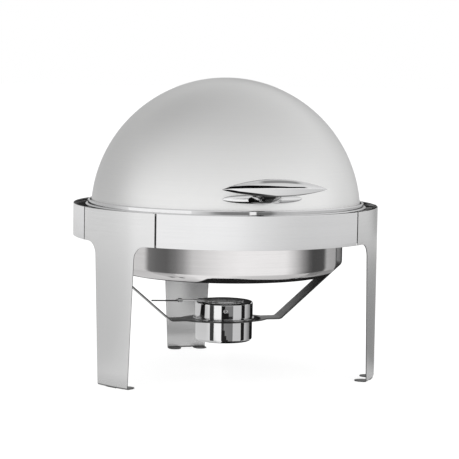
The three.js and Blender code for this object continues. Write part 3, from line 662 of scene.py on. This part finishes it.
def base():
    stations, around = 110, 24
    points, faces, painted_shade_values = [], [], []
    for i in range(stations + 1):
        t = math.sin((-1 + 2 * i / stations) * math.pi / 2) * 0.995
        width = max(6.2 * (1 - abs(t) ** 2.6) ** 0.5, 0.25)
        height = 0.9 + 5.0 * (1 - abs(t) ** 2.2)
        # Painted shade on the base: below darkens its lower edge on the left, above its upper edge on the far
        # left, and middle its middle round the neck. The right part is a little darker all over.
        below = along(t, [(-1, 0.0), (0.05, 0.0), (0.12, 0.85), (1, 0.9)])
        above = along(t, [(-1, 0.05), (-0.5, 0.05), (-0.25, 0.8), (1, 0.9)])
        middle = 1.0 if t < -0.36 else 0.0 if t < 0.05 else 0.86
        for k in range(around + 1):
            a = math.pi * k / around
            p = dome_point(BASE_HALF * t, BASE_Z - width * math.cos(a), 0.35 + height * math.sin(a) ** 0.7)
            points.append(p)
            edge = along(t, [(-1, 3), (-0.36, 7), (1, 7)])
            shade = along(k, [(0, below), (edge, below), (edge + 1, middle), (18, middle), (20, above),
                              (around, above)])
            painted_shade_values.append(1.0 if in_painted_highlight(p[0], p[2]) else shade)
    n = around + 1
    for i in range(stations):
        for k in range(around):
            faces.append([i * n + k, (i + 1) * n + k, (i + 1) * n + k + 1, i * n + k + 1])
        faces.append([i * n + around, (i + 1) * n + around, (i + 1) * n, i * n])
    faces.append(list(range(n)))
    faces.append([stations * n + k for k in reversed(range(n))])
    # The neck leaves the base as a foot and narrows to the underside of the grip.
    path = [(-200.5, 270.5, 24.0, 5.4), (-204.5, 270.9, 20.5, 5.4), (-209.5, 271.6, 17.5, 5.6),
            (-216, 273.1, 16.0, 5.6), (-224, 275.6, 15.2, 5.4), (-232, 278.8, 15.0, 5.2),
            (-239, 282.0, 15.0, 5.0), (-244.5, 284.8, 15.2, 4.4)]
    fine = [tuple(u + (v - u) * k / 4 for u, v in zip(p, q))
            for p, q in zip(path, path[1:]) for k in range(4)]
    path = fine + [path[-1]]
    ring_steps = 64
    start = len(points)
    for j, (y, z, half_width, half_height) in enumerate(path):
        y0, z0 = path[max(j - 1, 0)][:2]
        y1, z1 = path[min(j + 1, len(path) - 1)][:2]
        forward = Vector((y1 - y0, z1 - z0)).normalized()
        up = Vector((forward.y, -forward.x))
        for k in range(ring_steps):
            a = 2 * math.pi * k / ring_steps
            ca, sa = math.cos(a), math.sin(a)
            x = half_width * math.copysign(abs(ca) ** 0.75, ca)
            h = half_height * math.copysign(abs(sa) ** 0.75, sa)
            points.append((x, y + up.x * h, z + up.y * h))
            # The neck is painted dark left of x = 3 mm and a little darker to the right, as painted shade and
            # reflection.
            painted_shade_values.append(1.0 if in_painted_highlight(x, z + up.y * h) else 0.0 if x < 3.0 else 0.8)
    for j in range(len(path) - 1):
        for k in range(ring_steps):
            m = (k + 1) % ring_steps
            a, b = start + j * ring_steps, start + (j + 1) * ring_steps
            faces.append([a + k, a + m, b + m, b + k])
    faces.append([start + k for k in reversed(range(ring_steps))])
    faces.append([start + (len(path) - 1) * ring_steps + k for k in range(ring_steps)])
    return piece("base_leaf_and_neck", points, faces, "cover", HANDLE, "handle_base", sharp=42,
                 painted_shade_values=painted_shade_values)


grip()
base()
for word, x in (("left", -26.0), ("right", 26.0)):
    under = math.sqrt(DOME_INNER ** 2 - x * x - (BASE_Z - PIVOT) ** 2) - 2.6
    lathe("base_screw_" + word, rounded([
        (0, under - 3.2, 0), (3.6, under - 3.2, 1.4), (4.8, under, 0.3), (2.5, under, 0), (2.5, 198.5, 0.4),
        (0, 198.5, 0)], closed=False), "cover", DULL, "handle_screw_" + word, 32,
        centre=(x, 0, BASE_Z), axis=(0, -1, 0))


# ---------------------------------------------------------------- pans

def pan(radius, bottom, corner, rim_radius, rim_low):
    """A pan's profile: floor, rounded corner, wall and flat rim, then back along the inside."""
    wall_thick = 1.5
    inner, centre = radius - wall_thick, radius - corner
    return ([(0, bottom)] + arc((centre, bottom + corner), corner, -90, 0, 12)
            + rounded([(radius, rim_low - 3, 0), (radius, rim_low, 1.2), (rim_radius, rim_low, 0.7),
                       (rim_radius, rim_low + wall_thick, 0.7), (inner, rim_low + wall_thick, 2.2),
                       (inner, rim_low - 6, 0)], closed=False)
            + arc((centre, bottom + corner), corner - wall_thick, 0, -90, 12) + [(0, bottom + wall_thick)])


lathe("water_pan_shell", pan(166, 148.5, 16.5, 182.5, 221.4), "water_pan", PAN,
      "water_pan", 240)
lathe("food_pan_shell", pan(160, 160, 14, 184.5, 223.3), "food_pan", PAN_INSIDE,
      "food_pan", 240)


# ---------------------------------------------------------------- burner bracket

def bracket():
    low, thick, half_bar, hole = 77.2, 1.8, 17.0, 43.1
    corners = [(62.0, half_bar), (50.0, 30.0), (22.0, 44.0)]
    corner_angles = [math.degrees(math.atan2(y, x)) for x, y in corners]

    def edge(angle):
        a = abs((angle + 90) % 180 - 90)
        c, s = math.cos(math.radians(a)), math.sin(math.radians(a))
        if a <= corner_angles[0]:
            return 62.0 / c
        for (x0, y0), (x1, y1), end in zip(corners, corners[1:], corner_angles[1:]):
            if a <= end:
                return (x0 * y1 - x1 * y0) / (c * (y1 - y0) - s * (x1 - x0))
        return 49.0

    def soft_edge(angle):
        a = abs((angle + 90) % 180 - 90)
        if a <= corner_angles[0] + 0.01:
            return edge(angle)
        reach = min(5.0, a - corner_angles[0])
        return sum(edge(angle + reach * d / 3) for d in range(-3, 4)) / 7

    bar_ys = [half_bar * k / 5 for k in range(-5, 6)]
    right = [math.degrees(math.atan2(y, 62.0)) for y in bar_ys]
    upper = [right[-1] + (180 - 2 * right[-1]) * k / 32 for k in range(1, 32)]
    angles = right + upper + [180 + a for a in right] + [180 + a for a in upper]
    points, faces = [], []
    rings = []
    for share in (0.0, 0.08, 0.5, 1.0):
        ring = []
        for a in angles:
            r = hole + (soft_edge(a) - hole) * share
            ring.append(len(points))
            points.append((r * math.cos(math.radians(a)), r * math.sin(math.radians(a)), low))
        rings.append(ring)
    n = len(angles)
    for a, b in zip(rings, rings[1:]):
        faces += [[a[i], a[(i + 1) % n], b[(i + 1) % n], b[i]] for i in range(n)]
    path = rounded([(62, low, 0), (84, low, 9), (178.6, 160, 9), (178.6, 218.5, 0)], closed=False, steps=7)
    for side, first in ((1, 0), (-1, len(right) + len(upper))):
        last = rings[-1][first:first + len(right)]
        ys = bar_ys if side > 0 else [-y for y in bar_ys]
        for x, z in path[1:]:
            row = []
            for y in ys:
                row.append(len(points))
                points.append((side * x, y, z))
            faces += [[last[i], last[i + 1], row[i + 1], row[i]] for i in range(len(row) - 1)]
            last = row
    return piece("bracket_bent_bar", points, faces, "stand", (BAR, CUT_EDGE_AND_SHADE),
                 "burner_bracket", (0, 0, -1), thick, 0.35)


bracket()
for word, side in (("left", -1), ("right", 1)):
    for place, y in (("front", -8.0), ("rear", 8.0)):
        lathe(f"bar_rivet_{word}_{place}", rounded([
            (0, 174.4, 0), (3.2, 174.4, 1.6), (4.5, 176.4, 0.4), (2.2, 176.4, 0), (2.2, 181.9, 0),
            (4.5, 181.9, 0.4), (3.2, 183.9, 1.6), (0, 183.9, 0)], closed=False), "stand", DULL,
            f"bracket_rivet_{word}_{place}", 28, centre=(0, y, 210), axis=(side, 0, 0))


# ---------------------------------------------------------------- burner and snuffer

lathe("burner_cup_shell", rounded([
    (0, 46, 0), (42.3, 46, 5), (42.3, 79.3, 0.6), (46, 79.3, 0.6), (46, 80.6, 0.6), (41.1, 80.6, 1.0),
    (41.1, 47.2, 3.8), (0, 47.2, 0)], closed=False, steps=7), "burner", CHROME, "burner_cup", 160)
lathe("burner_cap_shell", rounded([
    (41.8, 80.9, 0.3), (42.4, 80.9, 0.2), (42.4, 82.2, 0.1), (43, 82.6, 0.2), (43, 104.6, 2.6),
    (22, 104.6, 0.5), (22, 103.4, 0.5), (41.8, 103.4, 1.5)], steps=7), "burner", CHROME,
    "burner_cap", 160)

BUTTON_WAY = math.radians(-12)     # azimuth of the rivet on the front of the cap
lathe("cap_button", rounded([
    (0, 40.4, 0), (3.4, 40.4, 0.5), (3.4, 41.4, 0.2), (2.2, 41.4, 0), (2.2, 43.4, 0), (3.4, 43.4, 0.2),
    (3.0, 44.8, 0.5), (1.8, 44.8, 0.2), (1.6, 41.6, 0.2), (0, 41.6, 0)], closed=False), "burner", PEENED,
    "cap_rivet", 32, centre=(0, 0, 94.5), axis=(math.sin(BUTTON_WAY), -math.cos(BUTTON_WAY), 0))

LID_AZIMUTH = -102.0     # where the snuffer's handle points
LID_LOW = 105.0


def along_snuffer(distance):
    a = math.radians(LID_AZIMUTH)
    return (distance * math.sin(a), -distance * math.cos(a), 0)


DISC_RADIUS, TAB_HALF = 29.5, 4.4
tab = rounded([(29.0, TAB_HALF, 0), (72, 4.0, 3.6), (72, -4.0, 3.6), (29.0, -TAB_HALF, 0)], closed=False)
disc_start = math.degrees(math.asin(TAB_HALF / DISC_RADIUS))
disc = arc((0, 0), DISC_RADIUS, disc_start, 360 - disc_start, 72)
plate("lid_disc", disc + tab[::-1], LID_LOW, LID_LOW + 1.2, "snuffer", LID, "snuffer_lid",
      LID_AZIMUTH - 90)
fork = rounded([(61, -4, 3.4), (111, -3.2, 0.8), (104, 0, 1.2), (111, 3.2, 0.8), (61, 4, 3.4)])
plate("lid_handle_strip", fork, LID_LOW - 1.5, LID_LOW - 0.3, "snuffer", CUT_EDGE_AND_SHADE,
      "snuffer_handle", LID_AZIMUTH - 90)


def pressed_rivet(name, node, body, distance, low, high):
    lathe(name, rounded([
        (0, low - 1.3, 0), (3.6, low - 1.3, 0.7), (3.6, low, 0.2), (2.2, low, 0), (2.2, high, 0),
        (3.6, high, 0.2), (2.8, high + 1.3, 0.9), (0, high + 1.3, 0)], closed=False), body, CHROME,
        node, 32, centre=along_snuffer(distance))


pressed_rivet("strip_rivet", "snuffer_rivet", "snuffer", 66, LID_LOW - 1.8, LID_LOW + 1.5)
pressed_rivet("lid_rivet", "lid_pivot_rivet", "burner", 36, LID_LOW - 1.9, LID_LOW + 1.5)


# ---------------------------------------------------------------- pivots

for word, side in (("left", -1), ("right", 1)):
    lathe("roll_pin_" + word, rounded([
        (0, 189.5, 0), (4, 189.5, 0.8), (4, 204.9, 0), (7.5, 204.9, 0.4), (7.5, 207.9, 1.2),
        (6.0, 208.9, 0.6), (0, 208.9, 0)], closed=False), "stand", DULL,
        "pivot_pin_" + word, 40, centre=(0, 0, PIVOT), axis=(side, 0, 0))
    lathe("roll_bush_" + word, rounded([
        (4.3, 197.5, 0.3), (6.5, 197.5, 0.5), (6.5, 202.6, 0.5), (4.3, 202.6, 0.3)]), "stand", RUBBER,
        "pivot_bush_" + word, 40, centre=(0, 0, PIVOT), axis=(side, 0, 0))

# The plain brackets, channels and stops keep the CAD shape, with their edges eased.
kept = {DULL: ["ring_bracket_front_left", "ring_bracket_front_right", "ring_bracket_rear",
               "pivot_bracket_left", "pivot_bracket_right", "pivot_ear_left", "pivot_ear_right",
               "pivot_nut_left", "pivot_nut_right", "carrier_brace_left", "carrier_brace_right",
               "carrier_arm_left", "carrier_arm_right"],
        RUBBER: ["closed_stop_left", "closed_stop_right", "open_stop_left", "open_stop_right"]}
for material, names in kept.items():
    for name in names:
        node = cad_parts[name]
        node.data.materials.clear()
        node.data.materials.append(material)
        weld = node.modifiers.new("weld", "WELD")
        weld.merge_threshold = 0.02 * MM
        eased_edges(node, 0.35)


# ---------------------------------------------------------------- studio

def stage_mesh(name, corners, faces, material):
    mesh = bpy.data.meshes.new(name)
    mesh.from_pydata(corners, [], faces)
    mesh.materials.append(material)
    obj = bpy.data.objects.new(name, mesh)
    scene.collection.objects.link(obj)
    return obj


floor_look = Tree(bpy.data.materials.new("pale_floor"))
floor_look.bsdf.inputs["Base Color"].default_value = (0.40, 0.40, 0.40, 1)
floor_look.bsdf.inputs["Roughness"].default_value = 0.9
floor_look.bsdf.inputs["Emission Color"].default_value = (1, 1, 1, 1)
floor_look.bsdf.inputs["Emission Strength"].default_value = 0.80
FLOOR_REACH, FLOOR_Z = 30.0, -0.0004
floor_corners = [(x * FLOOR_REACH, y * FLOOR_REACH, FLOOR_Z) for x, y in ((-1, -1), (1, -1), (1, 1), (-1, 1))]
stage_mesh("floor", floor_corners, [[0, 1, 2, 3]], floor_look.owner)

CAMERA_AZIMUTH, CAMERA_ELEVATION, CAMERA_ROLL = -15.64, 5.47, 0.92
CAMERA_DISTANCE = 2.70679
LOOKED_AT = Vector((0, AXIS_Y, 0.2))


def way_to(azimuth, elevation):
    """The direction at an azimuth counted from the camera's own, and at an elevation."""
    a, e = math.radians(azimuth + CAMERA_AZIMUTH), math.radians(elevation)
    return Vector((math.sin(a) * math.cos(e), -math.cos(a) * math.cos(e), math.sin(e)))


def stage_point(azimuth, radius, height):
    """A point about the axis in metres, at an azimuth counted from the camera's own."""
    a = math.radians(azimuth + CAMERA_AZIMUTH)
    return (math.sin(a) * radius, AXIS_Y - math.cos(a) * radius, height)


def painted(name, corners, faces, greys):
    """A stage mesh that only reflections see. It glows with a grey given at each of its points."""
    look = Tree(bpy.data.materials.new(name))
    look.nt.nodes.clear()
    glow = look.node("ShaderNodeEmission")
    look.link(look.node("ShaderNodeAttribute", attribute_name="grey").outputs["Color"], glow.inputs["Color"])
    look.link(glow.outputs[0], look.node("ShaderNodeOutputMaterial").inputs["Surface"])
    obj = stage_mesh(name, corners, faces, look.owner)
    layer = obj.data.color_attributes.new("grey", "FLOAT_COLOR", "POINT")
    for i, g in enumerate(greys):
        layer.data[i].color = (g, g, g, 1)
    obj.visible_camera = False
    obj.visible_diffuse = False
    obj.visible_transmission = False
    obj.visible_shadow = False
    return obj


def card(name, start, end, distance, low, high, grey):
    """An upright studio card between two azimuths. Grey is its brightness, or that of its two ends."""
    first, last = grey if isinstance(grey, tuple) else (grey, grey)
    steps = max(2, int(abs(end - start) / 4))
    corners, greys = [], []
    for i in range(steps + 1):
        for z in (low, high):
            corners.append(stage_point(start + (end - start) * i / steps, distance, z))
            greys.append(first + (last - first) * i / steps)
    faces = [[2 * i, 2 * i + 2, 2 * i + 3, 2 * i + 1] for i in range(steps)]
    return painted(name, corners, faces, greys)


def floor_card():
    """What reflections see of the floor: bright in front and greyer at the sides. The bright part
    is narrow near the object and opens further out. bright goes by azimuth. right_side and
    left_side go by radius, and apply as far as sides says. rings are (radius, narrowing, share); the
    share darkens it mostly near the axis, a painted shadow of the object as reflections see it."""
    bright = [(-180, 0.56), (-150, 0.64), (-129, 0.70), (-76, 0.74), (-68, 0.91), (-52, 0.96), (-5, 0.96),
              (8, 0.93), (21, 0.83), (33, 0.76), (45, 0.71), (57, 0.68), (118, 0.70), (130, 0.67),
              (142, 0.50), (150, 0.38), (180, 0.56)]
    right_side = [(0.0, 0.42), (0.7, 0.42), (1.0, 0.46), (1.6, 0.56), (1.9, 0.70), (2.15, 1.0), (14.0, 1.0)]
    left_side = [(0.0, 1.0), (0.3, 0.92), (0.5, 0.84), (1.4, 0.86), (2.15, 1.0), (2.8, 1.15), (14.0, 1.15)]
    sides = [(-180, 1.0), (-74, 1.0), (-56, 0.0), (30, 0.0), (60, 0.2), (85, 0.3), (110, 1.0), (180, 1.0)]
    rings = [(0.0, 0.36, 0.72), (0.10, 0.36, 0.80), (0.16, 0.36, 0.97), (0.22, 0.36, 1.0), (0.32, 0.45, 1.0),
             (0.45, 0.58, 1.0), (0.70, 0.72, 1.0), (1.0, 0.85, 1.0), (1.6, 0.94, 0.97), (1.9, 0.97, 0.96),
             (2.15, 0.99, 0.97), (2.4, 1.0, 1.0), (2.8, 1.0, 1.0), (14.0, 1.0, 1.0)]
    around = 144
    corners, faces, greys = [], [], []
    for radius, narrow, share in rings:
        for i in range(around):
            azimuth = -180 + 360 * i / around
            looked_up = azimuth if narrow == 1.0 else max(-125.0, min(115.0, azimuth / narrow))
            corners.append(stage_point(azimuth, radius, 0.0002))
            fade = along(azimuth, sides)
            side = along(radius, right_side if azimuth > 0 else left_side)
            greys.append(along(looked_up, bright) * share * (1 - fade * (1 - side)))
    for j in range(len(rings) - 1):
        for i in range(around):
            m = (i + 1) % around
            faces.append([j * around + i, j * around + m, (j + 1) * around + m, (j + 1) * around + i])
    return painted("floor_card", corners, faces, greys)


floor_card()
# Narrow cards round the burner, and a ring of them outside the water pan's wall, inside the legs.
for i, (start, end, grey) in enumerate([
        (-35.4, -25.3, 0.045), (-5.8, 0.2, 0.05), (0.2, 22.9, (0.21, 0.19)), (22.9, 46.0, 0.58),
        (46.0, 57.9, 0.012), (57.9, 84, (0.55, 0.16)), (84, 124, 0.008)]):
    card(f"burner_card_{i}", start, end, 0.055, 0.040, 0.1035, grey)
# The rear leg sees the outside of the last of them, so a pale card covers it.
card("burner_card_outside", 84, 124, 0.056, 0.036, 0.072, 0.72)
for i, (start, end, low, high, grey) in enumerate([
        (-5, 11, 0.040, 0.050, 0.02), (-5, 7, 0.050, 0.056, 0.02), (-5, 3, 0.056, 0.064, 0.02),
        (-4, 3, 0.080, 0.102, 0.01), (3, 12, 0.080, 0.090, 0.01), (12, 22, 0.080, 0.085, 0.03),
        (120, 180, 0.1050, 0.117, 0.02), (-180, -120, 0.1050, 0.117, 0.02)]):
    card(f"burner_patch_{i}", start, end, 0.0545, low, high, grey)
pan_greys = [(-92, 0.70), (-54, 0.70), (-50, 0.19), (-43, 0.14), (-36, 0.125), (-30, 0.20), (-25, 0.34),
             (-19, 0.66), (-11, 0.80), (0, 0.95), (10, 1.02)]
side_greys = [(10, 1.02), (38, 0.98), (46, 0.62), (52, 0.32), (58, 0.12), (62, 0.07), (76, 0.08),
              (81, 0.48), (92, 0.42), (106, 0.38), (110, 0.06), (130, 0.05)]
for word, greys in (("left", pan_greys), ("right", side_greys)):
    for i, ((a0, g0), (a1, g1)) in enumerate(zip(greys, greys[1:])):
        card(f"pan_card_{word}_{i}", a0, a1, 0.205, 0.135, 0.2015, (g0, g1))


def low_card(name, height, grey, reach):
    """A level card under something, whose reach from the axis goes by the azimuth."""
    corners = [stage_point(azimuth, along(azimuth, reach), height) for azimuth in range(-180, 180, 3)]
    return painted(name, corners, [list(range(len(corners)))], [grey] * len(corners))


# Dark cards under the water pan and under the burner, painted shade that reflections see there, and a row
# of cards round the front of the dome's ring.
low_card("under_pan_card", 0.1462, 0.012, [
    (-180, 0.152), (-14, 0.153), (-8, 0.170), (6, 0.170), (14, 0.166), (30, 0.163), (180, 0.162)])
low_card("under_burner_card", 0.030, 0.01, [
    (-180, 0.03), (-8, 0.03), (-3, 0.080), (20, 0.080), (40, 0.066), (60, 0.056), (130, 0.054),
    (140, 0.03), (180, 0.03)])
ring_greys = [(-14, 0.80), (-7, 0.55), (-4, 0.30), (-1, 0.22), (9.6, 0.20), (10.2, 0.95), (12.4, 0.95),
              (13.0, 0.14), (19, 0.18), (22, 0.45), (30, 0.55), (56, 0.52), (64, 0.46), (90, 0.46)]
for i, ((a0, g0), (a1, g1)) in enumerate(zip(ring_greys, ring_greys[1:])):
    card(f"ring_card_{i}", a0, a1, 0.215, 0.2502, 0.2560, (g0, g1))
    card(f"ring_card_low_{i}", a0, a1, 0.215, 0.2465, 0.2502, (0.2 * g0, 0.2 * g1))
# The far side of the room, darker on the left.
for i, (start, end, grey) in enumerate([
        (-180, -150, (0.50, 0.50)), (-150, -105, (0.48, 0.52)), (-105, -85, (0.52, 0.78)),
        (100, 130, (0.85, 0.74)), (130, 180, (0.74, 0.36))]):
    card(f"room_card_{i}", start, end, 6.0, 0.0, 3.4, grey)

world = bpy.data.worlds.new("studio")
scene.world = world
sky = Tree(world)
sky.nt.nodes.clear()
looked_along = sky.node("ShaderNodeTexCoord").outputs["Generated"]
split = sky.node("ShaderNodeSeparateXYZ")
sky.link(looked_along, split.inputs[0])


def sky_ramp(stops):
    """A grey that goes by how far up a direction points, from (height, grey) stops."""
    ramp = sky.node("ShaderNodeValToRGB")
    elements = ramp.color_ramp.elements
    while len(elements) < len(stops):
        elements.new(0.5)
    for element, (position, grey) in zip(elements, stops):
        element.position = position
        element.color = (grey, grey, grey, 1)
    sky.link(split.outputs["Z"], ramp.inputs["Fac"])
    return ramp.outputs["Color"]


def towards(azimuth, elevation):
    """How far a direction leans towards an azimuth counted from the camera, from 0 to 1."""
    dot = sky.node("ShaderNodeVectorMath", operation="DOT_PRODUCT")
    dot.inputs[1].default_value = way_to(azimuth, elevation)
    sky.link(looked_along, dot.inputs[0])
    return sky.math("MAXIMUM", dot.outputs["Value"])


overhead = sky_ramp([(0.0, 1.0), (0.12, 1.0), (0.35, 0.90), (0.7, 0.76), (1.0, 0.64)])
high = sky_ramp([(0.0, 0.0), (0.10, 0.0), (0.22, 1.0)])
left_dark = sky.math("MULTIPLY", sky.math("POWER", towards(-128, 38), 4.0), 0.32)
rear_dark = sky.math("MULTIPLY", towards(180, 30), 0.10)
shade = sky.math("MULTIPLY", sky.math("ADD", left_dark, rear_dark), high)
light = sky.math("MULTIPLY", overhead, sky.math("SUBTRACT", 1.0, shade))
back = sky.node("ShaderNodeBackground")
sky.link(light, back.inputs["Color"])
sky.link(back.outputs[0], sky.node("ShaderNodeOutputWorld").inputs["Surface"])

# A soft light overhead.
light_data = bpy.data.lights.new("top_soft", "AREA")
light_data.shape = "RECTANGLE"
light_data.size = light_data.size_y = 3.0
light_data.energy = 12
top_soft = bpy.data.objects.new("top_soft", light_data)
scene.collection.objects.link(top_soft)
above = way_to(0, 78)
top_soft.location = LOOKED_AT + above * 2.6
top_soft.rotation_euler = above.to_track_quat("Z", "Y").to_euler()
top_soft.visible_glossy = False
top_soft.visible_camera = False

camera_data = bpy.data.cameras.new("camera")
camera = bpy.data.objects.new("camera", camera_data)
scene.collection.objects.link(camera)
camera_data.sensor_width = 36
camera_data.lens = 142.97
camera_data.shift_x = 0.00967
camera_data.shift_y = 0.01619
camera_data.clip_end = 200
way = way_to(0, CAMERA_ELEVATION)
camera.location = LOOKED_AT + way * CAMERA_DISTANCE
turned = way.to_track_quat("Z", "Y").to_matrix() @ Matrix.Rotation(math.radians(CAMERA_ROLL), 3, "Z")
camera.rotation_euler = turned.to_euler()
scene.camera = camera
scene.view_settings.view_transform = "Standard"
